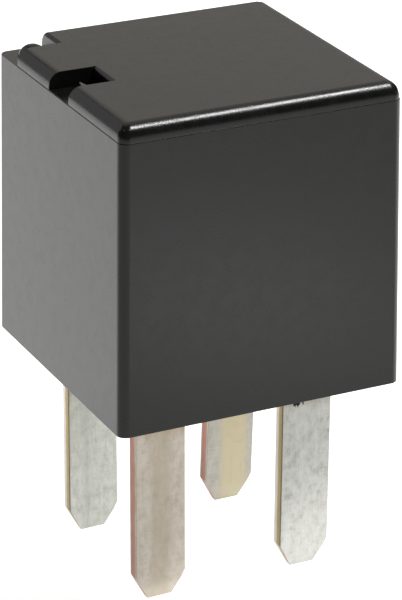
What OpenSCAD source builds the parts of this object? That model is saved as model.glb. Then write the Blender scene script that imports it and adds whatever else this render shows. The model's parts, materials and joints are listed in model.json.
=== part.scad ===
// Plug-in relay of the ultra-micro size with four 2.8 x 0.8 mm blades.
// A moulded cover closes over a sealed base, which carries a hinged-armature magnet
// and one normally open contact. Millimetres, +Z up, origin at the centre of the
// underside. The blades hang below it with their broad faces across Y.

/* [Cover] */
// Width at the rim, along X
cover_w = 15.5; // [15:0.1:20]
// Depth at the rim, along Y
cover_d = 15.3; // [14.8:0.1:20]
// Height of the cover above the seating plane
cover_h = 15.95; // [14:0.05:22]
// Thickness of the side walls
wall_t = 0.85; // [0.7:0.05:1]
// Thickness of the top
top_t = 0.85; // [0.7:0.05:1.4]
// Draft of every side wall, in degrees
draft_deg = 0.81; // [0.3:0.01:1.5]
// Radius of the vertical corners
corner_r = 0.5; // [0.3:0.05:0.65]
// Radius round the top edge
lid_r = 0.69; // [0.4:0.01:0.85]
// Height of the cover above its mould parting line
lid_h = 0.88; // [0.86:0.01:1.4]
// Step in from the parting line, round the lid
parting_step = 0.03; // [0.01:0.01:0.08]
// Depth of the ribs that the base stops against
rib_depth = 0.4; // [0.2:0.05:0.6]

/* [Grip slot] */
// Width of the slot in the left edge of the lid
slot_w = 2.31; // [1.5:0.01:3.5]
// Offset of its middle along Y
slot_y = -0.09; // [-1:0.01:1]
// Length of the slot from the left wall of the lid
slot_len = 2.37; // [1.5:0.01:3]

/* [Corner recess and vent] */
// Length of the recess along X
recess_x = 2.28; // [1.8:0.01:3]
// Length of the recess along Y
recess_y = 2.37; // [1.8:0.01:3]
// Radius along the top of the two pockets' end walls
mouth_r = 0.22; // [0.05:0.01:0.4]
// Radius of the vent hole in its floor
vent_r = 0.4; // [0.25:0.05:0.5]
// Radius of the seal's dome where it meets the floor
seal_r = 0.76; // [0.6:0.01:0.9]
// Height of the dome above the floor
seal_h = 0.64; // [0.4:0.01:0.75]

/* [Base] */
// Thickness of the base
base_t = 2.4; // [2:0.1:3.2]
// Gap between the base and the cover at the base's top edge
base_gap = 0.06; // [0.03:0.01:0.15]
// Depth of the resin groove in the underside
groove_depth = 0.9; // [0.6:0.1:1]
// Width of the groove along the cover's wall
groove_w = 1.1; // [0.8:0.1:1.5]
// Height of the resin's surface above the rim of the cover
resin_low = 0.15; // [0.05:0.05:0.4]
// Height of the pads that the yoke stands on
pad_h = 0.6; // [0.5:0.1:1]

/* [Blades] */
// Width of a blade
blade_w = 2.75; // [2.3:0.05:3.4]
// Thickness of the strip that the terminals are stamped from
blade_t = 0.8; // [0.6:0.05:1]
// Length of the blades below the seating plane
blade_len = 11.1; // [8:0.1:14]
// Pitch of the blades along X
pitch_x = 8.3; // [7.8:0.05:9.8]
// Pitch of the blades along Y
pitch_y = 8.3; // [8:0.05:9.8]
// Height of the corner cuts at the tips
tip_h = 1.35; // [0.8:0.05:2]
// Width taken from each side by the corner cuts
tip_cut = 0.7; // [0.4:0.05:0.9]
// Height of the lead-in bevels on the broad faces
lead_h = 0.95; // [0.6:0.05:1.3]
// Thickness left at the very tip
lead_t = 0.36; // [0.2:0.02:0.5]
// Lean of the load blade from upright, in degrees
load_lean = 1.6; // [0:0.1:3]

/* [Magnet] */
// Thickness of the yoke
yoke_t = 1; // [0.8:0.05:1.3]
// Diameter of the core inside the coil
core_d = 3.2; // [2.4:0.1:4]
// Thickness of the pole face on the core
pole_t = 0.7; // [0.5:0.05:1]
// Thickness of the bobbin's flanges
flange_t = 0.65; // [0.5:0.05:0.9]
// Thickness of the bobbin's tube
tube_t = 0.6; // [0.4:0.05:0.8]
// Thickness of the tape round the winding
tape_t = 0.08; // [0.05:0.01:0.15]

/* [Armature and contacts] */
// Thickness of the armature
armature_t = 0.9; // [0.7:0.05:1.2]
// Angle of the released armature above the pole face, in degrees
open_deg = 3; // [2:0.1:4]
// Thickness of the contact spring
leaf_t = 0.2; // [0.12:0.01:0.25]
// Inner radius of the spring's bend over the hinge
knee_r = 0.6; // [0.5:0.05:0.65]
// Diameter of the contact buttons
contact_d = 2; // [1.4:0.1:2.2]
// Height of the moving contact below the spring
contact_low = 0.6; // [0.4:0.05:0.8]
// Height of the fixed contact above its arm
contact_high = 0.5; // [0.3:0.05:0.7]
// Thickness of the rest stop
stop_t = 0.5; // [0.4:0.05:0.6]

/* [Suppressor] */
// Diameter of the resistor's body
resistor_d = 1.8; // [1.4:0.1:2]
// Length of the resistor's body
resistor_len = 3.4; // [2.8:0.1:4]
// Diameter of the resistor's leads
lead_d = 0.42; // [0.3:0.02:0.5]

/* [Hidden] */
$fn = 48;
hull_fn = 32;
eps = 0.01;
far = 30;

// Levels and widths of the cover.
function inset(z) = z * tan(draft_deg);
function inside_x(z) = cover_w / 2 - wall_t - inset(z);
function inside_y(z) = cover_d / 2 - wall_t - inset(z);
split_z = cover_h - lid_h;
ceiling_z = cover_h - top_t;
pocket_floor_t = 0.75;
pocket_ceiling_z = split_z - pocket_floor_t;
lid_x = cover_w / 2 - inset(split_z) - parting_step;
lid_y = cover_d / 2 - inset(split_z) - parting_step;
slot_end = -lid_x + slot_len;
recess_end = -lid_x + recess_x;
recess_front = lid_y - recess_y;
vent_share = [0.57, 0.55];
vent = [-lid_x + recess_x * vent_share[0], lid_y - recess_y * vent_share[1]];
rib_x = 3;
rib_w = 0.8;
cavity_r = 0.3;

// Base.
base_x = inside_x(base_t) - base_gap;
base_y = inside_y(base_t) - base_gap;
base_cut = 0.3;
blade_room = [0.6, 0.35];
island_x = pitch_x / 2 - blade_w / 2 - blade_room[0];
island_y = pitch_y / 2 - blade_t / 2 - blade_room[1];
pad_w = 1.2;
slip = 0.03;

// Terminals: the inner face of each strip, and the middle of each blade.
strip_in = pitch_y / 2 - blade_t / 2;
blade_x = pitch_x / 2;
bend_r = 0.3;
post_w = 0.8;
post_top = base_t + 4.9;
lead_z = post_top - 0.35;
tab_h = 4;
tab_cut = 0.5;
bus_h = 1.2;
foot_h = 1.8;

// Heights of the moving parts, worked down from the ceiling.
ceiling_gap = 0.35;
stop_z = ceiling_z - ceiling_gap - stop_t;
stop_gap = 0.05;
leaf_gap = 0.6;
leaf_end = inside_x(stop_z) - leaf_gap;
leaf_side = 0.74;
yoke_out = -(inside_x(stop_z) - leaf_side);
yoke_in = yoke_out + yoke_t;
hinge_cut = 0.12;
hinge_x = yoke_out + hinge_cut;
hinge_z = stop_z - stop_gap - (armature_t + leaf_t) * cos(open_deg)
    - (leaf_end - hinge_x) * sin(open_deg);
leaf_z = hinge_z + armature_t;
contact_in = 1.5;
contact_x = leaf_end - contact_in;
contact_touch = 0.02;
arm_z = leaf_z - contact_low - contact_touch - contact_high;

// Magnet, between the yoke and the arm of the load terminal.
arm_sides = [1.05, 1.45];
arm_x0 = contact_x - arm_sides[0];
arm_x1 = contact_x + arm_sides[1];
arm_gap = 0.35;
bus_end = arm_x0 - 0.65;
bus_post_x = bus_end - post_w / 2;
weld_h = 0.25;
flange_gap = 0.15;
yoke_z = base_t + pad_h;
yoke_hy = strip_in - weld_h;
flange_x0 = yoke_in + bend_r + slip;
flange_x1 = arm_x0 - arm_gap;
flange_hy = strip_in - flange_gap;
coil_x = (flange_x0 + flange_x1) / 2;
bobbin_z0 = yoke_z + yoke_t;
bobbin_z1 = hinge_z - pole_t;
tube_r = core_d / 2 + slip + tube_t;
winding_in = 0.2;
winding_r = min((flange_x1 - flange_x0) / 2, flange_hy) - winding_in - tape_t;
pole_in = 0.15;
pole_r = winding_r - pole_in;
tenon_d = core_d * 0.75;
yoke_end = coil_x + pole_r * 0.75;
armature_end = coil_x + pole_r + pole_in;
armature_hy = yoke_hy - 0.35;

// Centre of the spring's bend, where it is tangent to the yoke's back and to the
// top of the tilted armature.
knee_x = yoke_out + knee_r;
knee_z = hinge_z + (armature_t - knee_r + sin(open_deg) * (knee_x - hinge_x)) / cos(open_deg);
spring_hy = 2.7;
window_hy = 1.1;
rivet_y = 1.9;
yoke_rivet_z = knee_z - 3.2;
yoke_rivet_d = 0.8;
armature_rivet_x = coil_x - 1.3;
armature_rivet_d = 1;
stem_d = 1;
edge = 0.2;
stop_x1 = inside_x(stop_z) - ceiling_gap;
stop_x0 = stop_x1 - 1.1;
stop_y0 = -strip_in + 0.45;
stop_foot = 1.1;

// A block with rounded corners whose walls lean in by the draft.
module drafted_block(w, d, r, z0, z1) {
    hull()
        for (sx = [-1, 1], sy = [-1, 1], z = [z0, z1 - eps])
            translate([sx * (w / 2 - inset(z) - r), sy * (d / 2 - inset(z) - r), z])
                cylinder(r = r, h = eps, $fn = hull_fn);
}

// A block that runs from one corner to the other.
module span(a, b) {
    translate(a) cube(b - a);
}

// Turns what is drawn with the armature closed to where it rests when released.
module released() {
    translate([hinge_x, 0, hinge_z])
        rotate([0, -open_deg, 0])
            translate([-hinge_x, 0, -hinge_z])
                children();
}

// The same turn, for a point of the XZ plane.
function raised(p) =
    let (x = p[0] - hinge_x, z = p[1] - hinge_z)
    [hinge_x + x * cos(open_deg) - z * sin(open_deg),
     hinge_z + x * sin(open_deg) + z * cos(open_deg)];

// Points along an arc in the XZ plane.
function arc(centre, r, a0, a1, n = 10) =
    [for (i = [0:n]) let (a = a0 + (a1 - a0) * i / n) centre + r * [cos(a), sin(a)]];

// A sheet cut in the XZ plane, from y0 to y0 + t.
module sheet_y(points, y0, t) {
    translate([0, y0 + t, 0])
        rotate([90, 0, 0])
            linear_extrude(height = t) polygon(points);
}

// A round wire along a list of points, mitred at its corners.
module wire(points, d, sides = 10) {
    n = len(points);
    function unit(v) = v / norm(v);
    function dir(i) = unit(points[min(i + 1, n - 1)] - points[max(i - 1, 0)]);
    rings = [for (i = [0:n - 1])
        let (t = dir(i),
             a = unit(cross(t, abs(t[2]) > 0.9 ? [0, 1, 0] : [0, 0, 1])),
             b = cross(t, a))
        for (k = [0:sides - 1])
            points[i] + d / 2 * (cos(360 * k / sides) * a + sin(360 * k / sides) * b)];
    polyhedron(rings, concat(
        [[for (k = [0:sides - 1]) k]],
        [for (i = [0:n - 2], k = [0:sides - 1])
            let (m = (k + 1) % sides)
            [i * sides + m, i * sides + k, (i + 1) * sides + k, (i + 1) * sides + m]],
        [[for (k = [sides - 1:-1:0]) (n - 1) * sides + k]]));
}

// ---- Cover

// The lid keeps the small radius of the vertical corners under the wider round of its
// top edge, so each corner is that round turned about the corner's own axis.
module lid() {
    arc_z = cover_h - lid_r;
    last = acos(1 - corner_r / lid_r);
    steps = 8;
    hull() {
        for (sx = [-1, 1], sy = [-1, 1])
            translate([sx * (lid_x - corner_r), sy * (lid_y - corner_r), 0])
                rotate_extrude($fn = hull_fn)
                    polygon(concat(
                        [[0, split_z - lid_h / 2], [corner_r, split_z - lid_h / 2]],
                        [for (i = [0:steps]) let (a = last * i / steps)
                            [corner_r - lid_r * (1 - cos(a)), arc_z + lid_r * sin(a)]]));
        for (i = [0:steps])
            let (a = 90 * i / steps, s = lid_r * (1 - cos(a)))
            translate([0, 0, arc_z + lid_r * sin(a) - eps / 2]) {
                cube([2 * (lid_x - s), 2 * (lid_y - lid_r), eps], center = true);
                cube([2 * (lid_x - lid_r), 2 * (lid_y - s), eps], center = true);
            }
    }
}

// What is taken off the top edge of a pocket's end wall at x, from y0 to y1.
module mouth_round(x, y0, y1) {
    difference() {
        span([x - eps, y0, cover_h - mouth_r], [x + mouth_r, y1, far]);
        translate([x + mouth_r, y0 - 1, cover_h - mouth_r])
            rotate([-90, 0, 0]) cylinder(r = mouth_r, h = y1 - y0 + 2);
    }
}

// The hollow of the cover, with the ribs and the floors of the two pockets left standing.
module cavity() {
    difference() {
        drafted_block(cover_w - 2 * wall_t, cover_d - 2 * wall_t, cavity_r, -eps, ceiling_z);
        for (sx = [-1, 1], sy = [-1, 1])
            translate([sx * rib_x - rib_w / 2,
                       sy > 0 ? inside_y(ceiling_z) - rib_depth : -far, base_t])
                cube([rib_w, far - inside_y(ceiling_z) + rib_depth, far]);
        span([-far, slot_y - slot_w / 2 - wall_t, pocket_ceiling_z],
             [slot_end + wall_t, slot_y + slot_w / 2 + wall_t, far]);
        span([-far, recess_front - wall_t, pocket_ceiling_z],
             [recess_end + wall_t, far, far]);
    }
}

module cover() {
    color("#2b2b2a")
        difference() {
            union() {
                drafted_block(cover_w, cover_d, corner_r, 0, split_z);
                lid();
            }
            cavity();
            span([-far, slot_y - slot_w / 2, split_z], [slot_end, slot_y + slot_w / 2, far]);
            span([-far, recess_front, split_z], [recess_end, far, far]);
            mouth_round(slot_end, slot_y - slot_w / 2, slot_y + slot_w / 2);
            mouth_round(recess_end, recess_front, far);
            translate([vent[0], vent[1], pocket_ceiling_z - 1])
                cylinder(r = vent_r, h = 3);
        }
}

// A domed plug that closes the vent hole after sealing.
module vent_seal() {
    dome_r = (seal_r * seal_r + seal_h * seal_h) / (2 * seal_h);
    color("#262625")
        translate([vent[0], vent[1], split_z]) {
            intersection() {
                translate([0, 0, seal_h - dome_r]) sphere(r = dome_r);
                span([-far, -far, 0], [far, far, far]);
            }
            translate([0, 0, -pocket_floor_t])
                cylinder(r = vent_r - slip, h = pocket_floor_t + 0.1);
        }
}

// ---- Base

// The band between the base's edge and its middle, left open for the resin.
module groove(z0, z1) {
    difference() {
        span([-far, -far, z0], [far, far, z1]);
        span([-island_x, -base_y + groove_w, z0 - 1], [island_x, base_y - groove_w, z1 + 1]);
        span([-base_x + groove_w, -island_y, z0 - 1], [base_x - groove_w, island_y, z1 + 1]);
    }
}

module blade_slots(z0, z1, gap) {
    for (sx = [-1, 1], sy = [-1, 1])
        translate([sx * blade_x, sy * pitch_y / 2, (z0 + z1) / 2])
            cube([blade_w + 2 * gap, blade_t + 2 * gap, z1 - z0], center = true);
}

module base() {
    color("#30302f")
        difference() {
            union() {
                linear_extrude(height = base_t)
                    polygon([
                        [-base_x + base_cut, -base_y], [base_x - base_cut, -base_y],
                        [base_x, -base_y + base_cut], [base_x, base_y - base_cut],
                        [base_x - base_cut, base_y], [-base_x + base_cut, base_y],
                        [-base_x, base_y - base_cut], [-base_x, -base_y + base_cut]]);
                for (x = [yoke_out + 0.9, yoke_end - 0.9], sy = [-1, 1])
                    translate([x - pad_w / 2, sy * (yoke_hy - 0.7) - pad_w / 2, base_t - eps])
                        cube([pad_w, pad_w, pad_h + eps]);
            }
            groove(-1, groove_depth);
            blade_slots(-1, base_t + 1, slip);
            span([stop_x0 - slip, stop_y0 - slip, base_t - stop_foot - 0.05],
                 [stop_x1 + slip, stop_y0 + stop_t + slip, base_t + 1]);
        }
}

// Resin poured into the groove, round the blades and against the cover's wall.
module sealing_resin() {
    color("#3a332a")
        difference() {
            intersection() {
                groove(resin_low, groove_depth);
                drafted_block(cover_w - 2 * wall_t - 2 * eps, cover_d - 2 * wall_t - 2 * eps,
                              cavity_r, 0, groove_depth + 1);
            }
            blade_slots(-1, groove_depth + 1, 0);
        }
}

// ---- Terminals

// Outline of a blade from the base's top down to its tip. It leans in from the seating plane.
function blade_outline(lean) =
    let (s = -tan(lean), h = blade_w / 2, l = blade_len)
    [[h, 0], [h + s * (l - tip_h), -l + tip_h], [h - tip_cut + s * l, -l],
     [-h + tip_cut + s * l, -l], [-h + s * (l - tip_h), -l + tip_h], [-h, 0]];

// A terminal stamped from strip: upper is its outline above the base's top, drawn from
// the right side of the blade over to the left.
module stamped(x, y, upper, lean = 0) {
    outline = concat([for (p = blade_outline(lean)) [x + p[0], p[1]]],
                     [[x - blade_w / 2, base_t]], upper, [[x + blade_w / 2, base_t]]);
    intersection() {
        sheet_y(outline, y - blade_t / 2, blade_t);
        translate([-far, y, 0])
            rotate([90, 0, 90])
                linear_extrude(height = 2 * far)
                    polygon([
                        [-lead_t / 2, -blade_len], [lead_t / 2, -blade_len],
                        [blade_t / 2, -blade_len + lead_h], [blade_t / 2, far],
                        [-blade_t / 2, far], [-blade_t / 2, -blade_len + lead_h]]);
    }
}

// A post with a notch for a wire, as the points of its outline from left to right.
function notched_post(x, z0) =
    [[x - post_w / 2, z0], [x - post_w / 2, post_top],
     [x - lead_d / 2 - slip, post_top], [x - lead_d / 2 - slip, lead_z - lead_d / 2 - slip],
     [x + lead_d / 2 + slip, lead_z - lead_d / 2 - slip], [x + lead_d / 2 + slip, post_top],
     [x + post_w / 2, post_top], [x + post_w / 2, z0]];

// Common contact: its tab is welded to the side of the yoke.
module terminal_30() {
    left = yoke_out - 0.25;
    right = yoke_in + 1.6;
    top = yoke_z + tab_h;
    color("#b8b5ac")
        stamped(-blade_x, -pitch_y / 2, [
            [left, base_t], [left, top - tab_cut], [left + tab_cut, top],
            [right - tab_cut, top], [right, top - tab_cut], [right, base_t]]);
}

// Normally open contact: it climbs the back right corner and bends over the coil's side.
module terminal_87() {
    bend_z = arm_z - blade_t - bend_r;
    color("#bab5a4")
        difference() {
            union() {
                stamped(blade_x, pitch_y / 2, [[arm_x0, base_t], [arm_x0, bend_z],
                        [arm_x1, bend_z], [arm_x1, base_t]], load_lean);
                translate([arm_x0, strip_in - bend_r, bend_z])
                    rotate([90, 0, 90])
                        rotate_extrude(angle = 90)
                            translate([bend_r, 0]) square([blade_t, arm_x1 - arm_x0]);
                span([arm_x0, -contact_d / 2 - 0.3, arm_z - blade_t],
                     [arm_x1, strip_in - bend_r, arm_z]);
            }
            translate([contact_x, 0, arm_z - 2 * blade_t])
                cylinder(d = contact_d / 2 + 2 * slip, h = 3 * blade_t);
        }
}

// Coil terminal with a bus along the back, to a post beside the load terminal.
module terminal_86() {
    left = yoke_in + 0.3;
    color("#b5b6b3")
        stamped(-blade_x, pitch_y / 2, concat(
            [[left, base_t], [left, base_t + bus_h]],
            notched_post(bus_post_x, base_t + bus_h),
            [[bus_end, base_t]]));
}

// Coil terminal with a post beside its own blade.
module terminal_85() {
    foot_top = base_t + foot_h;
    right = max(blade_x + blade_w / 2 - 0.1, contact_x + post_w / 2 + 0.4);
    color("#b6b4ae")
        stamped(blade_x, -pitch_y / 2, concat(
            [[arm_x0, base_t], [arm_x0, foot_top]],
            notched_post(contact_x, foot_top),
            [[right, foot_top], [right, base_t]]));
}

// ---- Magnet

module yoke() {
    out_r = yoke_t + bend_r;
    color("#8f8f8a")
        difference() {
            union() {
                sheet_y([
                    [yoke_out, yoke_z + out_r], [yoke_out, hinge_z - hinge_cut],
                    [yoke_out + hinge_cut, hinge_z], [yoke_in, hinge_z],
                    [yoke_in, yoke_z + out_r]], -yoke_hy, 2 * yoke_hy);
                translate([yoke_out + out_r, yoke_hy, yoke_z + out_r])
                    rotate([90, 0, 0])
                        rotate_extrude(angle = 90, start = 180)
                            translate([bend_r, 0]) square([yoke_t, 2 * yoke_hy]);
                span([yoke_out + out_r, -yoke_hy, yoke_z], [yoke_end, yoke_hy, yoke_z + yoke_t]);
                span([yoke_out, -strip_in, yoke_z + 1.5], [yoke_in, -yoke_hy, yoke_z + 3.4]);
            }
            translate([coil_x, 0, yoke_z - 1]) cylinder(d = tenon_d + 2 * slip, h = yoke_t + 2);
            for (sy = [-1, 1])
                translate([yoke_out - 1, sy * rivet_y, yoke_rivet_z])
                    rotate([0, 90, 0])
                        cylinder(d = yoke_rivet_d + 2 * slip, h = yoke_t + 2);
        }
}

// Core with its pole face on top and a tenon riveted under the yoke.
module core() {
    head_z = yoke_z - 0.35;
    head_cut = 0.15;
    color("#a3a39d")
        translate([coil_x, 0, 0])
            rotate_extrude()
                polygon([
                    [0, head_z], [core_d / 2 - head_cut, head_z], [core_d / 2, head_z + head_cut],
                    [core_d / 2, yoke_z], [tenon_d / 2, yoke_z], [tenon_d / 2, bobbin_z0],
                    [core_d / 2, bobbin_z0], [core_d / 2, bobbin_z1], [pole_r, bobbin_z1],
                    [pole_r, hinge_z - head_cut], [pole_r - head_cut, hinge_z], [0, hinge_z]]);
}

// One flange: a rectangle with its corners rounded off by a circle, notched for the wire.
module flange(z) {
    mid_r = norm([(flange_x1 - flange_x0) / 2, flange_hy]) - 0.45;
    intersection() {
        span([flange_x0, -flange_hy, z], [flange_x1, flange_hy, z + flange_t]);
        translate([coil_x, 0, z - 1]) cylinder(r = mid_r, h = flange_t + 2);
    }
}

module bobbin() {
    color("#d8d4c6")
        difference() {
            union() {
                flange(bobbin_z0);
                flange(bobbin_z1 - flange_t);
                translate([coil_x, 0, bobbin_z0]) cylinder(r = tube_r, h = bobbin_z1 - bobbin_z0);
            }
            translate([coil_x, 0, bobbin_z0 - 1])
                cylinder(d = core_d + 2 * slip, h = bobbin_z1 - bobbin_z0 + 2);
            for (sy = [-1, 1])
                translate([flange_x1 - 1.6, sy * flange_hy, bobbin_z0 + flange_t / 2])
                    cube([0.6, 1.2, flange_t + 1], center = true);
        }
}

// Enamelled wire, wound between the flanges, with its two ends led to the coil posts.
module coil_winding() {
    z0 = bobbin_z0 + flange_t;
    z1 = bobbin_z1 - flange_t;
    wire_d = 0.22;
    tail_y = strip_in - wire_d / 2;
    out_z = z0 + 0.15;
    low_z = z0 + 0.6;
    end_z = z0 + 1.6;
    end_x = contact_x - post_w / 4;
    color("#a5522c") {
        difference() {
            translate([coil_x, 0, z0]) cylinder(r = winding_r, h = z1 - z0);
            translate([coil_x, 0, z0 - 1]) cylinder(r = tube_r, h = z1 - z0 + 2);
        }
        wire([[coil_x + winding_r * 0.5, winding_r * 0.6, out_z],
              [coil_x + winding_r * 0.8, winding_r * 0.85, out_z],
              [bus_post_x, tail_y, low_z], [bus_post_x, tail_y, end_z]], wire_d);
        wire([[coil_x + winding_r * 0.55, -winding_r * 0.6, out_z],
              [coil_x + winding_r * 0.9, -winding_r * 0.8, out_z],
              [end_x, -tail_y, low_z], [end_x, -tail_y, end_z]], wire_d);
    }
}

// Insulating tape round the winding, above the level where its ends come out.
module coil_tape() {
    z0 = bobbin_z0 + flange_t + 0.4;
    z1 = bobbin_z1 - flange_t - 0.1;
    color("#c9a13a")
        translate([coil_x, 0, z0])
            difference() {
                cylinder(r = winding_r + tape_t, h = z1 - z0);
                translate([0, 0, -1]) cylinder(r = winding_r + eps, h = z1 - z0 + 2);
            }
}

// ---- Armature and spring

module armature() {
    back = 0.56;
    nose = 1.1;
    color("#97978f")
        released()
            difference() {
                intersection() {
                    sheet_y([
                        [hinge_x, hinge_z], [armature_end, hinge_z],
                        [armature_end, leaf_z - edge],
                        [armature_end - edge, leaf_z], [hinge_x + back, leaf_z],
                        [hinge_x, leaf_z - back]], -armature_hy, 2 * armature_hy);
                    translate([0, 0, hinge_z - 1])
                        linear_extrude(height = armature_t + 2)
                            polygon([
                                [hinge_x - 1, -armature_hy], [armature_end - nose, -armature_hy],
                                [armature_end, -armature_hy + nose],
                                [armature_end, armature_hy - nose],
                                [armature_end - nose, armature_hy], [hinge_x - 1, armature_hy]]);
                }
                for (sy = [-1, 1])
                    translate([armature_rivet_x, sy * rivet_y, leaf_z - 0.6])
                        cylinder(d = armature_rivet_d + 2 * slip, h = 1);
            }
}

// Plan of the spring: wide over the yoke and the armature, narrow at the contact.
function leaf_plan() =
    let (w = spring_hy, n = 1.25, x0 = armature_end - 1, x1 = armature_end + 0.8)
    [[yoke_out - 1, -w], [x0, -w], [x1, -n], [leaf_end - 0.5, -n], [leaf_end, -n + 0.5],
     [leaf_end, n - 0.5], [leaf_end - 0.5, n], [x1, n], [x0, w], [yoke_out - 1, w]];

// Side view of the spring: up the yoke's back, over the hinge and along the armature.
function leaf_profile(foot_z) = concat(
    [[yoke_out, foot_z], [yoke_out - leaf_t, foot_z]],
    arc([knee_x, knee_z], knee_r + leaf_t, 180, 90 + open_deg),
    [raised([leaf_end, leaf_z + leaf_t]), raised([leaf_end, leaf_z])],
    arc([knee_x, knee_z], knee_r, 90 + open_deg, 180));

// Contact spring: riveted to the back of the yoke, bent over the hinge and riveted to
// the armature. Its end carries the moving contact.
module contact_spring() {
    foot_z = yoke_rivet_z - 1;
    color("#b9793f")
        difference() {
            intersection() {
                sheet_y(leaf_profile(foot_z), -spring_hy, 2 * spring_hy);
                released()
                    translate([0, 0, foot_z - 1])
                        linear_extrude(height = far) polygon(leaf_plan());
            }
            span([yoke_out - 1, -window_hy, knee_z - 1.6], [knee_x + 0.2, window_hy, far]);
            for (sy = [-1, 1]) {
                released()
                    translate([armature_rivet_x, sy * rivet_y, leaf_z - 1])
                        cylinder(d = armature_rivet_d + 2 * slip, h = 3);
                translate([yoke_out - 2, sy * rivet_y, yoke_rivet_z])
                    rotate([0, 90, 0]) cylinder(d = yoke_rivet_d + 2 * slip, h = 3);
            }
            released()
                translate([contact_x, 0, leaf_z - 1]) cylinder(d = stem_d + 2 * slip, h = 3);
        }
}

// A headed rivet along +Z: its head's underside is at z = 0 and its shank goes down.
module rivet(d, shank) {
    head_r = d * 0.86;
    head_h = 0.25;
    rotate_extrude()
        polygon([
            [0, -shank], [d / 2, -shank], [d / 2, 0], [head_r, 0],
            [head_r, head_h * 0.4], [head_r - head_h * 0.6, head_h], [0, head_h]]);
}

module yoke_rivets() {
    color("#a9a9a2")
        for (sy = [-1, 1])
            translate([yoke_out - leaf_t, sy * rivet_y, yoke_rivet_z])
                rotate([0, -90, 0]) rivet(yoke_rivet_d, leaf_t + yoke_t);
}

module armature_rivets() {
    color("#a9a9a2")
        released()
            for (sy = [-1, 1])
                translate([armature_rivet_x, sy * rivet_y, leaf_z + leaf_t])
                    rivet(armature_rivet_d, leaf_t + 0.58);
}

// Button under the spring's end, headed over on top.
module moving_contact() {
    color("#d9d8d2")
        released()
            translate([contact_x, 0, leaf_z])
                rotate_extrude()
                    polygon([
                        [0, -contact_low], [contact_d / 2 - edge, -contact_low],
                        [contact_d / 2, -contact_low + edge], [contact_d / 2, 0],
                        [stem_d / 2, 0], [stem_d / 2, leaf_t], [stem_d / 2 + 0.1, leaf_t],
                        [stem_d / 2, leaf_t + edge], [0, leaf_t + edge]]);
}

// Button on the arm of the load terminal, headed over below.
module fixed_contact() {
    shank = contact_d / 4;
    color("#d9d8d2")
        translate([contact_x, 0, arm_z])
            rotate_extrude()
                polygon([
                    [0, -blade_t - edge], [shank, -blade_t - edge], [shank + 0.15, -blade_t],
                    [shank, -blade_t], [shank, 0], [contact_d / 2, 0],
                    [contact_d / 2, contact_high - edge], [contact_d / 2 - edge, contact_high],
                    [0, contact_high]]);
}

// Bracket that the released spring's end rests under. Its foot is pressed into the base.
module rest_stop() {
    bend_z = stop_z - bend_r;
    y1 = stop_y0 + stop_t;
    color("#9d9d97") {
        span([stop_x0, stop_y0, base_t - stop_foot], [stop_x1, y1, bend_z]);
        translate([stop_x1, y1 + bend_r, bend_z])
            rotate([90, 0, -90])
                rotate_extrude(angle = 90)
                    translate([bend_r, 0]) square([stop_t, stop_x1 - stop_x0]);
        span([stop_x0, y1 + bend_r, stop_z], [stop_x1, 1.2, stop_z + stop_t]);
    }
}

// ---- Suppressor

module resistor_body() {
    r = resistor_d / 2;
    h = resistor_len / 2;
    waist = r - 0.12;
    cap = 0.8;
    round = 0.3;
    color("#7fa6b8")
        translate([contact_x, 0, lead_z])
            rotate([90, 0, 0])
                difference() {
                    rotate_extrude()
                        polygon([
                            [0, -h], [r - round, -h], [r, -h + round], [r, -h + cap],
                            [waist, -h + cap + round], [waist, h - cap - round],
                            [r, h - cap], [r, h - round], [r - round, h], [0, h]]);
                    for (s = [-1, 1])
                        translate([0, 0, s * h]) cylinder(d = lead_d, h = 0.6, center = true);
                }
}

module resistor_leads() {
    h = resistor_len / 2;
    in_y = h - 0.3;
    out_y = strip_in + blade_t + 0.4;
    turn = 0.35;
    color("#c4c3be") {
        wire([[contact_x, -in_y, lead_z], [contact_x, -out_y, lead_z]], lead_d);
        wire([[contact_x, in_y, lead_z], [contact_x, h + 0.5, lead_z],
              [contact_x - turn, h + 0.8, lead_z], [bus_post_x + turn, strip_in - 0.8, lead_z],
              [bus_post_x, strip_in - 0.45, lead_z], [bus_post_x, out_y, lead_z]], lead_d);
    }
}

cover();
vent_seal();
base();
sealing_resin();
terminal_30();
terminal_87();
terminal_86();
terminal_85();
yoke();
core();
bobbin();
coil_winding();
coil_tape();
armature();
contact_spring();
yoke_rivets();
armature_rivets();
moving_contact();
fixed_contact();
rest_stop();
resistor_body();
resistor_leads();
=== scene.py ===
import bmesh
import bpy
import json
import math
from mathutils import Matrix, Vector

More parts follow.
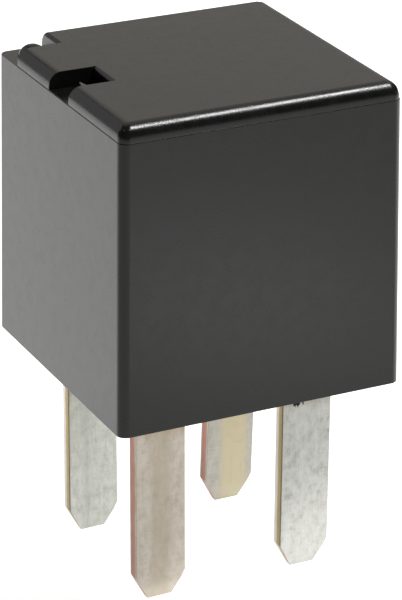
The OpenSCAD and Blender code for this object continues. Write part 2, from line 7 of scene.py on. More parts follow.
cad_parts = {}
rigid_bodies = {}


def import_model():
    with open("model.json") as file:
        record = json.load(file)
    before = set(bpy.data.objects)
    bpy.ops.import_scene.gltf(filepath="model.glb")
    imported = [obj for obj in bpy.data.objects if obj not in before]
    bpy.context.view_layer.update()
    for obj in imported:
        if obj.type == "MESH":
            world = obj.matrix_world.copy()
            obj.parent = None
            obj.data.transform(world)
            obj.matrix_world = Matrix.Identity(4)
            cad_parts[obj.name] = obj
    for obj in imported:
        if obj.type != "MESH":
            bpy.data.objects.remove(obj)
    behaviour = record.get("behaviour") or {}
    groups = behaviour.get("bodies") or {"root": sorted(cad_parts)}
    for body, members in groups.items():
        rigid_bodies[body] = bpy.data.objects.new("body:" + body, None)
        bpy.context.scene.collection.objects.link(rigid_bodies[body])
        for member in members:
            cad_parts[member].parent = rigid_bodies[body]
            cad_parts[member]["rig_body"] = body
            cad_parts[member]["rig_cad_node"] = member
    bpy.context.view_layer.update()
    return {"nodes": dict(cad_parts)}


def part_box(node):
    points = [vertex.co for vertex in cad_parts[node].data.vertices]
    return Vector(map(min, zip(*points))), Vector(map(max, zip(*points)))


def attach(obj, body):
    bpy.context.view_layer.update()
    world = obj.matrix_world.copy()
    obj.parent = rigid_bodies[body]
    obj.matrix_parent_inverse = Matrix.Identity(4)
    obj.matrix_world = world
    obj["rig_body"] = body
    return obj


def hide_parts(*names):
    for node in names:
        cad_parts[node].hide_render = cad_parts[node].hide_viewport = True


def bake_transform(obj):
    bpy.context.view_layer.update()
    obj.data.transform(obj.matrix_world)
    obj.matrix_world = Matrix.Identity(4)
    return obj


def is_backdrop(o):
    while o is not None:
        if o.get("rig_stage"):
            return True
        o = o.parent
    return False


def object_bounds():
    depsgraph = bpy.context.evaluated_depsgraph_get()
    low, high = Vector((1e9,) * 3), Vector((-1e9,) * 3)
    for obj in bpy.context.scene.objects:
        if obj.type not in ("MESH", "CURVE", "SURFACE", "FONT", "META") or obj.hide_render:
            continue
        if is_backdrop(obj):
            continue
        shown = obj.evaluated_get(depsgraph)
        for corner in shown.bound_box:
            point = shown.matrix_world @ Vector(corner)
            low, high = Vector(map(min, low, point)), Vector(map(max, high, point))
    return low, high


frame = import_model()
nodes = frame["nodes"]
mm = 0.001


def linearColour(code):  # sRGB hex to the linear values that Blender works in
    parts = [int(code[i:i + 2], 16) / 255 for i in (1, 3, 5)]
    return [p / 12.92 if p <= 0.04045 else ((p + 0.055) / 1.055) ** 2.4 for p in parts] + [1.0]


def addNode(tree, kind, settings):  # text keys name settings or sockets, numbers count sockets
    node = tree.nodes.new("ShaderNode" + kind)
    for key, value in settings.items():
        if key == "stops":
            ramp = node.color_ramp.elements
            while len(ramp) < len(value):
                ramp.new(0.5)
            for stop, (place, shade) in zip(ramp, value):
                stop.position = place
                stop.color = linearColour(shade) if isinstance(shade, str) else (shade, shade, shade, 1)
        elif isinstance(key, str) and key not in node.inputs:
            setattr(node, key, value)
        elif isinstance(value, bpy.types.NodeSocket):
            tree.links.new(value, node.inputs[key])
        else:
            node.inputs[key].default_value = value
    return node


def startMaterial(name, settings):  # a Principled shader with its output
    material = bpy.data.materials.new(name)
    material.use_nodes = True
    tree = material.node_tree
    tree.nodes.clear()
    shader = addNode(tree, "BsdfPrincipled", settings)
    addNode(tree, "OutputMaterial", {"Surface": shader.outputs[0]})
    return material, tree, shader


# Camera, at the height and side that a catalogue view is taken from
view = {"azimuth": 26.162, "elevation": 23.545, "roll": 0.337, "lens": 183.457, "sensor": 36,
        "distance": 155.391, "target": Vector((0, 0, 4.65)), "shiftRight": 0.26, "shiftUp": -1.569}


def makeCamera(v):
    turn, rise = math.radians(v["azimuth"]), math.radians(v["elevation"])
    ahead = Vector((math.sin(turn) * math.cos(rise), math.cos(turn) * math.cos(rise), -math.sin(rise)))
    level = Vector((math.cos(turn), -math.sin(turn), 0))
    right = Matrix.Rotation(-math.radians(v["roll"]), 3, ahead) @ level
    up = right.cross(ahead)
    data = bpy.data.cameras.new("camera")
    data.lens, data.sensor_width = v["lens"], v["sensor"]
    data.clip_start, data.clip_end = 0.01, 10
    camera = bpy.data.objects.new("camera", data)
    bpy.context.scene.collection.objects.link(camera)
    place = v["target"] - ahead * v["distance"] + right * v["shiftRight"] + up * v["shiftUp"]
    turned = Matrix((right, up, -ahead)).transposed().to_4x4()
    camera.matrix_world = Matrix.Translation(place * mm) @ turned
    bpy.context.scene.camera = camera


makeCamera(view)
print("camera set")


# Modelling is done in millimetres, one unit each, and settle() brings a piece to metres
def activate(piece):
    bpy.ops.object.select_all(action="DESELECT")
    piece.select_set(True)
    bpy.context.view_layer.objects.active = piece


def takePrimitive(name, scale=None):  # names the primitive just added and fixes its place in its mesh
    piece = bpy.context.object
    piece.name = name
    if scale:
        piece.scale = scale
    activate(piece)
    bpy.ops.object.transform_apply(location=True, rotation=True, scale=True)
    return piece


def addBox(name, low, high):
    middle = [(a + b) / 2 for a, b in zip(low, high)]
    bpy.ops.object.select_all(action="DESELECT")
    bpy.ops.mesh.primitive_cube_add(size=1, location=middle)
    return takePrimitive(name, [b - a for a, b in zip(low, high)])


def pick(piece, kind, test):  # in edit mode, selects the faces, edges or points that pass the test
    mesh = bmesh.from_edit_mesh(piece.data)
    bpy.ops.mesh.select_mode(type=kind)
    bpy.ops.mesh.select_all(action="DESELECT")
    for item in {"FACE": mesh.faces, "EDGE": mesh.edges, "VERT": mesh.verts}[kind]:
        item.select_set(test(item))
    mesh.select_flush_mode()
    bmesh.update_edit_mesh(piece.data)


def middle(item):
    return sum((v.co for v in item.verts), Vector()) / len(item.verts)


def editing(piece):
    activate(piece)
    bpy.ops.object.mode_set(mode="EDIT")


def doneEditing():
    bpy.ops.object.mode_set(mode="OBJECT")


def applyModifier(piece, kind, settings):
    activate(piece)
    bpy.ops.object.modifier_add(type=kind)
    modifier = piece.modifiers[-1]
    for key, value in settings.items():
        setattr(modifier, key, value)
    bpy.ops.object.modifier_apply(modifier=modifier.name)


def combine(piece, other, operation):  # a boolean, after which the other piece is gone
    applyModifier(piece, "BOOLEAN", {"operation": operation, "object": other, "solver": "EXACT"})
    bpy.data.objects.remove(other)


def copyNode(name, copyName):  # a merged copy of a CAD node, in millimetres, with its flat faces whole
    piece = nodes[name].copy()
    piece.data = nodes[name].data.copy()
    piece.name = copyName
    piece.parent = None
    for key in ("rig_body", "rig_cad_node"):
        del piece[key]
    bpy.context.scene.collection.objects.link(piece)
    piece.scale = (1 / mm, 1 / mm, 1 / mm)
    activate(piece)
    bpy.ops.object.transform_apply(scale=True)
    piece.data.materials.clear()
    bpy.ops.object.mode_set(mode="EDIT")
    bpy.ops.mesh.select_all(action="SELECT")
    bpy.ops.mesh.remove_doubles(threshold=0.0005)
    bpy.ops.mesh.dissolve_limited(angle_limit=math.radians(0.6))
    doneEditing()
    return piece


def settle(piece, body, replaced, material, smoothAngle=35):  # shading, metres, material, the body it rides on and hiding the nodes it replaces
    activate(piece)
    bpy.ops.object.shade_smooth_by_angle(angle=math.radians(smoothAngle))
    applyModifier(piece, "WEIGHTED_NORMAL", {"keep_sharp": True})
    piece.scale = (mm, mm, mm)
    bpy.ops.object.transform_apply(scale=True)
    piece.data.materials.clear()
    piece.data.materials.append(material)
    if body:
        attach(piece, body)
    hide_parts(*replaced)
    print("made", piece.name, len(piece.data.polygons), "faces")
# Cover: a moulded box with a parting line, a grip slot and a corner recess in its lid
cover = {"wall": 0.85, "top": 0.85, "draft": 0.81, "corner": 0.5, "topRound": 0.69, "lidHeight": 0.88,
         "step": 0.03, "grooveDepth": 0.008, "grooveHeight": 0.03, "segments": 8,
         "slotWidth": 2.31, "slotMiddle": -0.09, "slotLength": 2.37, "recessX": 2.28, "recessY": 2.37,
         "mouthRound": 0.22, "edgeRound": 0.035, "floor": 0.75, "cavityCorner": 0.3,
         "ribAt": 3.0, "ribWidth": 0.8, "ribDepth": 0.4, "ribFoot": 2.4,
         "ventAt": (0.57, 0.55), "ventRadius": 0.4, "nibAt": -6.66, "nibWidth": 0.34, "nibReach": 0.5}


def makeCover(c):
    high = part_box("cover")[1] / mm
    split = high[2] - c["lidHeight"]
    lean = math.tan(math.radians(c["draft"]))
    lidX, lidY = (high[i] - split * lean - c["step"] for i in (0, 1))
    segments = c["segments"]

    def drafted(name, x, y, z0, z1, corner):  # a box that leans in, with round corners
        piece = addBox(name, (-x, -y, z0), (x, y, z1))
        editing(piece)
        pick(piece, "FACE", lambda f: f.normal.z > 0.9)
        fall = (z1 - z0) * lean
        bpy.ops.transform.resize(value=(1 - fall / x, 1 - fall / y, 1), center_override=(0, 0, z1))
        pick(piece, "EDGE", lambda e: abs(e.verts[0].co.z - e.verts[1].co.z) > 1)
        bpy.ops.mesh.bevel(offset=corner, segments=segments, profile=0.5, affect="EDGES")
        doneEditing()
        return piece

    body = drafted("body", high[0], high[1], 0, split, c["corner"])
    editing(body)
    pick(body, "FACE", lambda f: f.normal.z > 0.9)  # the ledge at the parting line, then the groove's floor
    bpy.ops.mesh.inset(thickness=c["step"] + c["grooveDepth"])
    bpy.ops.mesh.delete(type="FACE")
    doneEditing()

    lid = addBox("lid", (-lidX, -lidY, split), (lidX, lidY, high[2]))
    editing(lid)
    pick(lid, "EDGE", lambda e: min(v.co.z for v in e.verts) > split + 0.1)
    bpy.ops.transform.edge_bevelweight(value=1)
    pick(lid, "EDGE", lambda e: abs(e.verts[0].co.z - e.verts[1].co.z) > 0.1)
    bpy.ops.transform.edge_bevelweight(value=c["corner"] / c["topRound"])
    doneEditing()
    applyModifier(lid, "BEVEL", {"limit_method": "WEIGHT", "width": c["topRound"], "segments": segments})
    editing(lid)
    pick(lid, "FACE", lambda f: f.normal.z < -0.9)
    bpy.ops.mesh.delete(type="FACE")
    pick(lid, "VERT", lambda v: v.co.z < split + 0.01)
    bpy.ops.transform.translate(value=(0, 0, c["grooveHeight"]))
    doneEditing()

    activate(lid)
    body.select_set(True)
    bpy.context.view_layer.objects.active = body
    bpy.ops.object.join()
    editing(body)
    pick(body, "EDGE", lambda e: e.is_boundary)
    bpy.ops.mesh.bridge_edge_loops()
    bpy.ops.mesh.select_all(action="SELECT")
    bpy.ops.mesh.normals_make_consistent(inside=False)
    doneEditing()

    slotLow, slotHigh = (c["slotMiddle"] + s * c["slotWidth"] / 2 for s in (-1, 1))
    slotEnd, recessEnd, recessFront = -lidX + c["slotLength"], -lidX + c["recessX"], lidY - c["recessY"]
    combine(body, addBox("slotCut", (-9, slotLow, split), (slotEnd, slotHigh, 17)), "DIFFERENCE")
    combine(body, addBox("recessCut", (-9, recessFront, split), (recessEnd, 9, 17)), "DIFFERENCE")

    r, backY = c["mouthRound"], lidY - c["topRound"]
    backZ, lowZ, topZ = high[2] - c["topRound"], high[2] - c["mouthRound"], high[2] + 0.3

    def roundMouth(name, low, high, places):  # takes the edge off an end wall, leaving the rounds given
        cut = addBox(name, low, high)
        for place in places:
            place()
            combine(cut, takePrimitive("round"), "DIFFERENCE")
        combine(body, cut, "DIFFERENCE")

    def rod(radius, length, centre, turn):
        bpy.ops.mesh.primitive_cylinder_add(vertices=64, radius=radius, depth=length, location=centre, rotation=turn)

    def ring(centre):  # follows the back fillet
        bpy.ops.mesh.primitive_torus_add(major_segments=64, minor_segments=48, location=centre, minor_radius=r,
                                         major_radius=c["topRound"] - r, rotation=(0, math.pi / 2, 0))

    along, across = (math.pi / 2, 0, 0), (0, math.pi / 2, 0)
    roundMouth("slotMouth", (slotEnd - 0.05, slotLow, lowZ), (slotEnd + r, slotHigh, topZ),
               [lambda: rod(r, 6, (slotEnd + r, 0, lowZ), along)])
    roundMouth("recessMouth", (recessEnd - 0.05, recessFront, lowZ), (recessEnd + r, backY, topZ),
               [lambda: rod(r, 6, (recessEnd + r, backY, lowZ), along)])
    roundMouth("backMouth", (recessEnd - 0.05, backY, backZ), (recessEnd + r, lidY + 0.3, topZ),
               [lambda: rod(c["topRound"] - r, 2, (recessEnd, backY, backZ), across),
                lambda: ring((recessEnd + r, backY, backZ))])
    roundMouth("sideMouth", (recessEnd - 0.05, lidY - r, split - 0.01), (recessEnd + r, lidY + 0.3, backZ + 0.001),
               [lambda: rod(r, 6, (recessEnd + r, lidY - r, backZ), (0, 0, 0))])

    def onPlane(edge, axis, place):
        return all(abs(v.co[axis] - place) < 0.002 for v in edge.verts)

    def outer(edge):  # leaves out the edges inside a pocket
        return not all(v.co.z < split + 0.002 for v in edge.verts) and len(edge.link_faces) == 2

    def sideEdge(edge):  # where a side wall meets the outside of the lid
        at = middle(edge)
        slotPart = any(onPlane(edge, 1, y) for y in (slotLow, slotHigh)) and at.x < slotEnd - 0.01
        recessPart = onPlane(edge, 1, recessFront) and at.x < recessEnd - 0.01
        return outer(edge) and (slotPart or recessPart)

    def upright(edge):
        return abs(edge.verts[0].co.z - edge.verts[1].co.z) > 0.5

    def rimEdge(edge):  # round the foot of the cover and along the parting line
        level = all(v.co.z < 0.002 for v in edge.verts) or all(abs(v.co.z - split) < 0.002 for v in edge.verts)
        return level and any(abs(f.normal.z) < 0.2 and max(abs(middle(f).x), abs(middle(f).y)) > lidX - 0.3
                             and middle(f).z < split - 1 for f in edge.link_faces)

    editing(body)
    pick(body, "EDGE", lambda e: sideEdge(e) and not (upright(e) and middle(e).x > -lidX + 0.5))
    bpy.ops.mesh.bevel(offset=c["edgeRound"], segments=2, profile=0.5, affect="EDGES", clamp_overlap=False)
    pick(body, "EDGE", rimEdge)
    bpy.ops.mesh.bevel(offset=c["edgeRound"], segments=2, profile=0.5, affect="EDGES", clamp_overlap=False)
    doneEditing()

    ceiling = high[2] - c["top"]
    roomX, roomY = (high[i] - c["wall"] for i in (0, 1))
    room = drafted("room", roomX, roomY, -0.01, ceiling, c["cavityCorner"])
    ribY = roomY - ceiling * lean - c["ribDepth"]
    for x in (-c["ribAt"], c["ribAt"]):
        for y0, y1 in ((ribY, 9), (-9, -ribY)):
            combine(room, addBox("rib", (x - c["ribWidth"] / 2, y0, c["ribFoot"]), (x + c["ribWidth"] / 2, y1, 17)),
                    "DIFFERENCE")
    low = split - c["floor"]  # the floors and inner walls of the two pockets
    combine(room, addBox("slotFloor", (-9, slotLow - c["wall"], low), (slotEnd + c["wall"], slotHigh + c["wall"], 17)),
            "DIFFERENCE")
    combine(room, addBox("recessFloor", (-9, recessFront - c["wall"], low), (recessEnd + c["wall"], 9, 17)),
            "DIFFERENCE")
    combine(body, room, "DIFFERENCE")
    rod(c["ventRadius"], 3, (-lidX + c["recessX"] * c["ventAt"][0], lidY - c["recessY"] * c["ventAt"][1], low), (0, 0, 0))
    combine(body, takePrimitive("vent"), "DIFFERENCE")

    x, w, y = c["nibAt"], c["nibWidth"] / 2, slotLow + c["nibReach"]  # a flake of flash over the edge of the slot
    nib = addBox("nib", (x - w, slotLow - 0.2, high[2] - 0.06), (x + w, y, high[2] - 0.004))
    editing(nib)
    pick(nib, "FACE", lambda f: f.normal.y > 0.9)
    bpy.ops.transform.resize(value=(0.15, 1, 0.4), center_override=(x, y, high[2] - 0.004))
    doneEditing()
    combine(body, nib, "UNION")
    editing(body)  # what the booleans leave: doubled points and slivers
    bpy.ops.mesh.select_all(action="SELECT")
    bpy.ops.mesh.remove_doubles(threshold=0.006)
    bpy.ops.mesh.dissolve_degenerate(threshold=0.006)
    bpy.ops.mesh.dissolve_limited(angle_limit=math.radians(0.3))
    doneEditing()
    return body, split


coverPiece, split = makeCover(cover)
# Shader shorthand. Places are in millimetres from the object's origin
def startFinish(name, settings):
    material, tree, shader = startMaterial(name, settings)
    spot = addNode(tree, "TexCoord", {})
    place = addNode(tree, "VectorMath", {"operation": "SCALE", 0: spot.outputs["Object"], "Scale": 1000.0}).outputs[0]
    return material, tree, shader, place, spot.outputs["Normal"]


def grain(tree, place, scale, detail=3.0, roughness=0.55):  # noise with its own fineness along X, Y and Z, per mm
    stretched = addNode(tree, "VectorMath", {"operation": "MULTIPLY", 0: place, 1: scale})
    return addNode(tree, "TexNoise", {"Vector": stretched.outputs[0], "Scale": 1.0, "Detail": detail,
                                      "Roughness": roughness}).outputs[0]


def calc(tree, operation, a, b=0.0):
    return addNode(tree, "Math", {"operation": operation, 0: a, 1: b}).outputs[0]


def spread(tree, value, low, high, out=(0.0, 1.0)):  # a soft step from low to high
    return addNode(tree, "MapRange", {"interpolation_type": "SMOOTHSTEP", 0: value, 1: low, 2: high,
                                      3: out[0], 4: out[1]}).outputs[0]


def ramp(tree, value, stops):
    return addNode(tree, "ValToRGB", {"Fac": value, "stops": stops}).outputs[0]


def lay(tree, amount, under, over):  # one colour over another
    over = linearColour(over) if isinstance(over, str) else over
    return addNode(tree, "Mix", {"data_type": "RGBA", 0: amount, 6: under, 7: over}).outputs[2]


def finishWith(tree, shader, colour, roughness, height, depth, strength=1.0):  # depth of the relief in mm
    bump = addNode(tree, "Bump", {"Strength": strength, "Distance": depth * mm, "Height": height})
    for key, value in (("Base Color", colour), ("Roughness", roughness), ("Normal", bump.outputs[0])):
        if value is not None:
            tree.links.new(value, shader.inputs[key])


def makeEven(name, f):  # a finish that is the same all over: colours, roughness and relief from two grains
    material, tree, shader, place, normal = startFinish(name, {"Metallic": f.get("metal", 0.0)})
    broad = grain(tree, place, f["broad"], 4.0)
    fine = grain(tree, place, f["fine"], 3.0)
    both = calc(tree, "ADD", calc(tree, "MULTIPLY", broad, 0.55), calc(tree, "MULTIPLY", fine, 0.45))
    low, high = f["roughness"]
    finishWith(tree, shader, ramp(tree, both, [(0.36, f["colours"][0]), (0.64, f["colours"][1])]),
               spread(tree, both, 0.35, 0.65, (low, high)), fine, f["relief"])
    return material


# Glass-filled PBT of the cover: injection moulded against spark-eroded steel, so black, satin and faintly speckled
mouldedPbt = makeEven("mouldedPbt", {"colours": ("#131312", "#1e1d1c"), "roughness": (0.21, 0.29),
                                     "broad": (1.3, 1.3, 1.3), "fine": (17, 17, 17), "relief": 0.0035})
# The same resin with more glass, pressed as the base: greyer, with streaks where the fibres lie
fibrePbt = makeEven("fibrePbt", {"colours": ("#161615", "#2a2a28"), "roughness": (0.4, 0.6),
                                 "broad": (0.8, 5, 3), "fine": (3, 24, 16), "relief": 0.006})
# Epoxy dropped into the vent and cured: a smooth black bead with a wet gloss and a few dust specks
blackEpoxy = makeEven("blackEpoxy", {"colours": ("#0d0d0c", "#1b1a18"), "roughness": (0.16, 0.24),
                                     "broad": (2, 2, 2), "fine": (9, 9, 9), "relief": 0.002})
# Potting epoxy poured round the blades: brown-black, levelled by itself, with slight waves and fine bubbles
pottingEpoxy = makeEven("pottingEpoxy", {"colours": ("#1d1813", "#342a20"), "roughness": (0.18, 0.34),
                                         "broad": (0.6, 0.6, 0.6), "fine": (4, 4, 4), "relief": 0.02})
# Mild steel of the yoke, core and armature, nickel plated over its rolled or ground surface: grey, fine lines
platedIron = makeEven("platedIron", {"colours": ("#8b8a84", "#a9a8a1"), "roughness": (0.28, 0.42), "metal": 1.0,
                                     "broad": (1.1, 1.1, 1.1), "fine": (3, 30, 3), "relief": 0.002})
# Natural nylon of the bobbin: moulded thin, so cream, slightly waxy and soft in its highlights
nylon = makeEven("nylon", {"colours": ("#cfc8b4", "#dcd7c8"), "roughness": (0.38, 0.5),
                           "broad": (0.7, 0.7, 0.7), "fine": (12, 12, 12), "relief": 0.003})
# Polyester film tape: slit and wrapped by machine, so amber and glossy, with faint creases along it
polyesterTape = makeEven("polyesterTape", {"colours": ("#b98a22", "#d6a94a"), "roughness": (0.16, 0.26),
                                           "broad": (0.5, 0.5, 2.5), "fine": (2, 2, 14), "relief": 0.004})
# Copper-alloy strip of the spring: cold rolled, so warm, bright and lined along its length
springBronze = makeEven("springBronze", {"colours": ("#b0713c", "#cf9257"), "roughness": (0.2, 0.34), "metal": 1.0,
                                         "broad": (0.5, 2, 0.5), "fine": (1.2, 34, 1.2), "relief": 0.0015})
# Headed steel rivets: tumbled and zinc plated, so soft grey with small dents
rivetSteel = makeEven("rivetSteel", {"colours": ("#8f8f8b", "#b3b3ae"), "roughness": (0.3, 0.42), "metal": 1.0,
                                     "broad": (2, 2, 2), "fine": (8, 8, 8), "relief": 0.006})
# Silver alloy of the contacts: headed and burnished, so white, with a slight tarnish in patches
contactSilver = makeEven("contactSilver", {"colours": ("#c3beb1", "#e6e4de"), "roughness": (0.22, 0.36), "metal": 1.0,
                                           "broad": (1.6, 1.6, 1.6), "fine": (11, 11, 11), "relief": 0.003})
# Sheet steel of the stop: blanked and left bright, lined along the sheet
stopSteel = makeEven("stopSteel", {"colours": ("#7d7d79", "#a0a09b"), "roughness": (0.3, 0.45), "metal": 1.0,
                                   "broad": (0.8, 3, 0.8), "fine": (1.5, 26, 1.5), "relief": 0.002})
# Lacquer of the resistor: dipped, so pale blue-green, thick, smooth and a little uneven
resistorLacquer = makeEven("resistorLacquer", {"colours": ("#6d97a8", "#86b0bf"), "roughness": (0.18, 0.3),
                                               "broad": (0.9, 0.9, 0.9), "fine": (5, 5, 5), "relief": 0.01})
# Tinned copper wire of the leads: drawn through a die and dipped, so pale grey with long fine lines
leadTin = makeEven("leadTin", {"colours": ("#aeaca4", "#cfcec8"), "roughness": (0.26, 0.38), "metal": 1.0,
                               "broad": (3, 1, 3), "fine": (18, 2, 18), "relief": 0.003})


def makeWinding(name, w):  # round turns laid side by side, seen as fine level ridges
    material, tree, shader, place, normal = startFinish(name, {"Metallic": 0.85})
    turns = addNode(tree, "TexWave", {"wave_type": "BANDS", "bands_direction": "Z", "Vector": place,
                                      "Scale": w["perMm"] * 0.314, "Distortion": 0.25, "Detail": 1.0}).outputs[1]
    patches = grain(tree, place, (1.4, 1.4, 3))
    # painted shade and highlight: the colour follows the turns, dark in the grooves and light on the crests, mixed with
    # random patches
    colour = ramp(tree, calc(tree, "ADD", calc(tree, "MULTIPLY", turns, 0.6), calc(tree, "MULTIPLY", patches, 0.4)),
                  [(0.2, w["patchAndGrooveShade"]), (0.75, w["light"])])
    finishWith(tree, shader, colour, spread(tree, patches, 0.3, 0.7, (0.2, 0.32)), turns, w["relief"])
    return material


# Enamelled copper wire of the coil: wound in even layers, so glossy red-brown with a ridge for every turn, its colour
# darker in painted shade between the turns and lighter in a painted highlight on each crest
enamelledCopper = makeWinding("enamelledCopper", {"perMm": 7.0, "patchAndGrooveShade": "#5a2410", "light": "#c06a38", "relief": 0.03})


def makeTinned(name, b):
    material, tree, shader, place, normal = startFinish(name, {"Metallic": 1.0})
    spot = addNode(tree, "SeparateXYZ", {0: place})
    across = calc(tree, "SUBTRACT", spot.outputs[0], b["x"])
    inward = calc(tree, "DIVIDE", calc(tree, "SUBTRACT", spot.outputs[1], b["y"] - 0.4), 0.8)
    wobble = grain(tree, place, (3, 3, 1.1), 5.0)
    ragged = calc(tree, "SUBTRACT", wobble, 0.5)

    mottle = grain(tree, place, (2.4, 2.4, 1.5), 7.0, 0.68)
    colour = ramp(tree, mottle, list(zip((0.3, 0.47, 0.62), b["face"])))
    distance = calc(tree, "ADD", calc(tree, "ABSOLUTE", calc(tree, "SUBTRACT", across, b["panelAt"])),
                    calc(tree, "MULTIPLY", ragged, 0.5))
    sides = spread(tree, distance, b["panelHalf"] - 0.28, b["panelHalf"] + 0.28)
    colour = lay(tree, calc(tree, "MULTIPLY", calc(tree, "SUBTRACT", 1.0, sides), b["panelAmount"]), colour, b["panel"])

    level = spread(tree, grain(tree, place, (0.55, 1, 17), 3.0, 0.7), 0.56, 0.7)  # scratches across the blade
    upright = spread(tree, grain(tree, place, (19, 1, 0.5), 3.0, 0.65), 0.57, 0.7)  # and scuffs along it
    colour = lay(tree, calc(tree, "MULTIPLY", calc(tree, "MULTIPLY", level, sides), b["level"]), colour, b["bright"])
    colour = lay(tree, calc(tree, "MULTIPLY", upright, b["upright"]), colour, b["streak"])
    specks = spread(tree, grain(tree, place, (7, 7, 5), 4.0, 0.75), 0.62, 0.72)
    colour = lay(tree, calc(tree, "MULTIPLY", specks, b["specks"]), colour, b["speck"])

    height = calc(tree, "ADD", spot.outputs[2], calc(tree, "MULTIPLY", ragged, 1.6))
    stain = spread(tree, height, b["stainTo"] - 0.35, b["stainTo"] + 0.5, (0.0, b["stainAmount"]))
    colour = lay(tree, stain, colour, b["stain"])
    tip = spread(tree, height, b["tipFrom"] - 0.25, b["tipFrom"] + 0.15, (b["tipAmount"], 0.0))
    colour = lay(tree, tip, colour, b["tip"])
    roughness = spread(tree, calc(tree, "ADD", mottle, calc(tree, "MULTIPLY", level, 0.3)), 0.3, 0.9, b["roughness"])

    bands = ramp(tree, calc(tree, "ADD", inward, calc(tree, "MULTIPLY", ragged, 0.22)), b["edge"])
    sheared = calc(tree, "ABSOLUTE", addNode(tree, "SeparateXYZ", {0: normal}).outputs[0])
    colour = lay(tree, spread(tree, sheared, 0.55, 0.85), colour, bands)
    if "residue" in b:  # resin that crept down the blade and broke off raggedly
        x, half, low = b["residue"]
        side = calc(tree, "ADD", calc(tree, "ABSOLUTE", calc(tree, "SUBTRACT", across, x)),
                    calc(tree, "MULTIPLY", ragged, 0.5))
        crept = calc(tree, "MULTIPLY", spread(tree, side, half + 0.04, half - 0.04),
                     spread(tree, calc(tree, "ADD", height, ragged), low - 0.04, low + 0.04))
        colour = lay(tree, crept, colour, "#2c2823")
    relief = calc(tree, "ADD", calc(tree, "ADD", calc(tree, "MULTIPLY", mottle, 0.7), calc(tree, "MULTIPLY", upright, -0.3)),
                  calc(tree, "MULTIPLY", level, 0.3))
    finishWith(tree, shader, colour, roughness, relief, b["relief"])
    return material


# Blades: hot-dipped tin over strip that was blanked after plating, so the faces are pale and scuffed by the tool
# and by test sockets, while the sheared edges show copper or brass between a rolled-over and a torn band of tin
copperEdge = [(0.0, "#b9b6ae"), (0.16, "#8a7a6c"), (0.26, "#9a6550"), (0.72, "#8a5a47"), (0.86, "#8f8b84"), (1.0, "#a5a29b")]
brassEdge = [(0.0, "#6d675a"), (0.07, "#54492f"), (0.15, "#8f7a4c"), (0.5, "#9c8858"), (0.6, "#bcb9b0"), (1.0, "#c9c7c0")]
tinned = {"panelAt": 0.0, "panelHalf": 0.55, "panelAmount": 0.45, "level": 0.5, "upright": 0.3, "specks": 0.25,
          "bright": "#dedad0", "streak": "#8d887f", "speck": "#77726a", "stainTo": -1.9, "stainAmount": 0.45,
          "tipFrom": -10.15, "tipAmount": 0.3, "roughness": (0.3, 0.46), "relief": 0.004, "edge": copperEdge}
blades = {
    "terminal_30": {**tinned, "slot": "tinned_copper", "x": -4.15, "y": -4.15, "lean": 0.3, "shift": 0.0,
                    "face": ("#bab1a2", "#cbc2b4", "#d6cec2"), "panel": "#b3a692", "stain": "#a08a5c", "tip": "#d0c9b8"},
    "terminal_87": {**tinned, "slot": "tinned_copper", "x": 4.15, "y": 4.15, "lean": 0.0, "shift": 0.0,
                    "face": ("#8f8c85", "#9c9890", "#a8a49b"), "panel": "#aea487", "panelAmount": 0.85, "panelHalf": 0.75,
                    "stain": "#b5a988", "tip": "#b0aa99", "level": 0.25},
    "terminal_86": {**tinned, "slot": "tinned_brass", "x": -4.15, "y": 4.15, "lean": 0.5, "shift": -0.05,
                    "face": ("#a2a59e", "#bdbfb7", "#cdcec7"), "panel": "#a8aaa3", "panelAt": -0.35, "panelHalf": 0.2,
                    "stain": "#b0a68c", "tip": "#bcbaae", "upright": 0.45, "edge": brassEdge},
    "terminal_85": {**tinned, "slot": "tinned_brass", "x": 4.15, "y": -4.15, "lean": 0.0, "shift": -0.05,
                    "face": ("#9d9d98", "#bbbbb6", "#c8c8c4"), "panel": "#cfcfca", "panelAmount": 0.2, "specks": 0.5,
                    "stain": "#8f8468", "tip": "#b4b3ad", "edge": brassEdge, "residue": (-0.52, 0.33, -1.75)},
}


def makeBlade(name, b):
    piece = copyNode(name, name.replace("terminal_", "blade"))
    editing(piece)
    pick(piece, "VERT", lambda v: v.co.z < -0.5)
    bpy.ops.transform.rotate(value=math.radians(b["lean"]), orient_axis="Y", center_override=(b["x"], b["y"], 0))
    pick(piece, "VERT", lambda v: v.co.z < 0.1)
    bpy.ops.transform.translate(value=(b["shift"], 0, 0))
    doneEditing()
    applyModifier(piece, "BEVEL", {"limit_method": "ANGLE", "angle_limit": math.radians(20), "width": 0.07, "segments": 3})
    settle(piece, "frame", [name], makeTinned(name.replace("terminal_", "tinned"), b))


settle(coverPiece, "frame", ["cover"], mouldedPbt)
for name, b in blades.items():
    makeBlade(name, b)

# Base and the resin that seals it, whose surface creeps up every wall it meets
basePiece = copyNode("base", "basePlate")
applyModifier(basePiece, "BEVEL", {"limit_method": "ANGLE", "angle_limit": math.radians(40), "width": 0.05, "segments": 2})
settle(basePiece, "frame", ["base"], fibrePbt)
resinPiece = copyNode("sealing_resin", "pottedResin")
editing(resinPiece)
pick(resinPiece, "FACE", lambda f: f.normal.z < -0.9)
for depth in (0.07, 0.035, 0.01):
    bpy.ops.mesh.inset(thickness=0.07, depth=-depth)
doneEditing()
settle(resinPiece, "frame", ["sealing_resin"], pottingEpoxy, 60)

# Contact spring, which lies on the frame below the hinge and on the armature beyond it: a copy with rounded edges, put
# on no body
springPiece = copyNode("contact_spring", "springLeaf")
applyModifier(springPiece, "BEVEL", {"limit_method": "ANGLE", "angle_limit": math.radians(60), "width": 0.02, "segments": 2})
settle(springPiece, None, ["contact_spring"], springBronze)
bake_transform(springPiece)

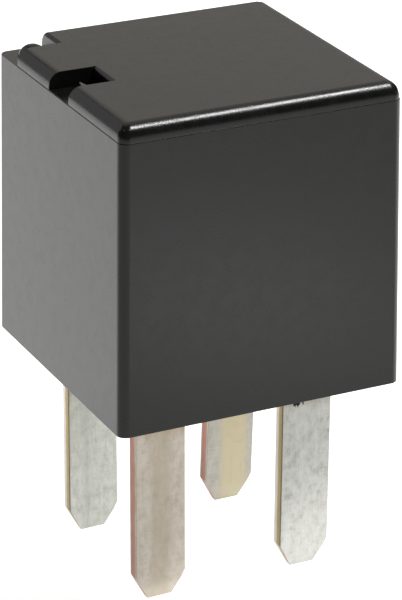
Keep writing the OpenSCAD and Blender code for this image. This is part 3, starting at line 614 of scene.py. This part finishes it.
# The nodes that keep the shape they have in the CAD
kept = {"vent_seal": blackEpoxy, "yoke": platedIron, "core": platedIron, "bobbin": nylon,
        "coil_winding": enamelledCopper, "coil_tape": polyesterTape, "armature": platedIron,
        "yoke_rivets": rivetSteel, "armature_rivets": rivetSteel, "moving_contact": contactSilver,
        "fixed_contact": contactSilver, "rest_stop": stopSteel, "resistor_body": resistorLacquer,
        "resistor_leads": leadTin}
for name, material in kept.items():
    nodes[name].data.materials.clear()
    nodes[name].data.materials.append(material)
print("materials set on", len(kept), "kept nodes")

# Studio: an opal table whose glow is painted light, dim in front and bright behind with a painted pool of light, a long
# softbox overhead, a small one beside it and a broad one behind
# painted light in the table: its glow runs from "front" to "table" over the depths in "seen", plus painted pools of
# light
studio = {"table": 1.03, "front": 0.27, "world": 0.03, "seen": (-9.0, -5.0), "paintedLightPools": [((17, -47), 12, 1.9)],
          "over": 0.55, "corner": 0.02, "behind": 0.26, "behindLeft": 0.14}


def makeTable(s):
    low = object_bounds()[0][2]
    bpy.ops.object.select_all(action="DESELECT")
    bpy.ops.mesh.primitive_plane_add(size=1.2, location=(0, 0, low))
    table = bpy.context.object
    table.name = "opalTable"
    # Opal acrylic sheet, cast and polished, whose glow is painted light from its own emission: it glows white and
    # leaves hardly any shadow
    opalPaintedGlow, tree, shader, place, normal = startFinish("opalPaintedGlow", {"Roughness": 0.6, "Specular IOR Level": 0.2,
                                                                           "Emission Color": (1, 1, 1, 1)})
    spot = addNode(tree, "SeparateXYZ", {0: place})
    # painted light: the glow ramps from dim in front to bright behind along the depth of the main view
    depth = calc(tree, "ADD", calc(tree, "MULTIPLY", spot.outputs[0], 0.44), calc(tree, "MULTIPLY", spot.outputs[1], 0.90))
    glow = spread(tree, depth, s["seen"][0], s["seen"][1], (s["front"], s["table"]))
    for centre, radius, amount in s["paintedLightPools"]:  # painted pools of light in the glow, with no lamp under the sheet
        away = addNode(tree, "VectorMath", {"operation": "DISTANCE", 0: place, 1: (centre[0], centre[1], low / mm)})
        glow = calc(tree, "ADD", glow, spread(tree, away.outputs[1], 0.0, 2.0 * radius, (amount, 0.0)))
    tree.links.new(glow, shader.inputs["Emission Strength"])
    haze = grain(tree, place, (0.05, 0.05, 0.05), 2.0)
    tree.links.new(ramp(tree, haze, [(0.3, "#ededeb"), (0.7, "#f6f6f5")]), shader.inputs["Base Color"])
    table.data.materials.append(opalPaintedGlow)
    table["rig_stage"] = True


def addSoftbox(name, towards, distance, size, power, colour="#ffffff"):
    data = bpy.data.lights.new(name, "AREA")
    data.shape, data.size, data.size_y = "RECTANGLE", size[0] * mm, size[1] * mm
    data.energy, data.color = power, linearColour(colour)[:3]
    light = bpy.data.objects.new(name, data)
    bpy.context.scene.collection.objects.link(light)
    way = Vector(towards).normalized()
    light.matrix_world = Matrix.Translation(way * distance * mm) @ way.to_track_quat("Z", "Y").to_matrix().to_4x4()
    return light


makeTable(studio)
addSoftbox("overLight", (0.40, -0.20, 0.89), 300, (140, 24), studio["over"])
addSoftbox("cornerLight", (-0.49, -0.1, 0.86), 300, (22, 22), studio["corner"])
addSoftbox("behindLight", (0.40, 0.68, 0.60), 400, (330, 480), studio["behind"], "#fffaf0")
addSoftbox("behindLeftLight", (-0.40, 0.82, 0.40), 400, (330, 300), studio["behindLeft"])
world = bpy.data.worlds.new("studio")
world.use_nodes = True
world.node_tree.nodes["Background"].inputs[0].default_value = (1, 1, 1, 1)
world.node_tree.nodes["Background"].inputs[1].default_value = studio["world"]
bpy.context.scene.world = world
bpy.context.scene.view_settings.view_transform = "Standard"
print("studio lit")
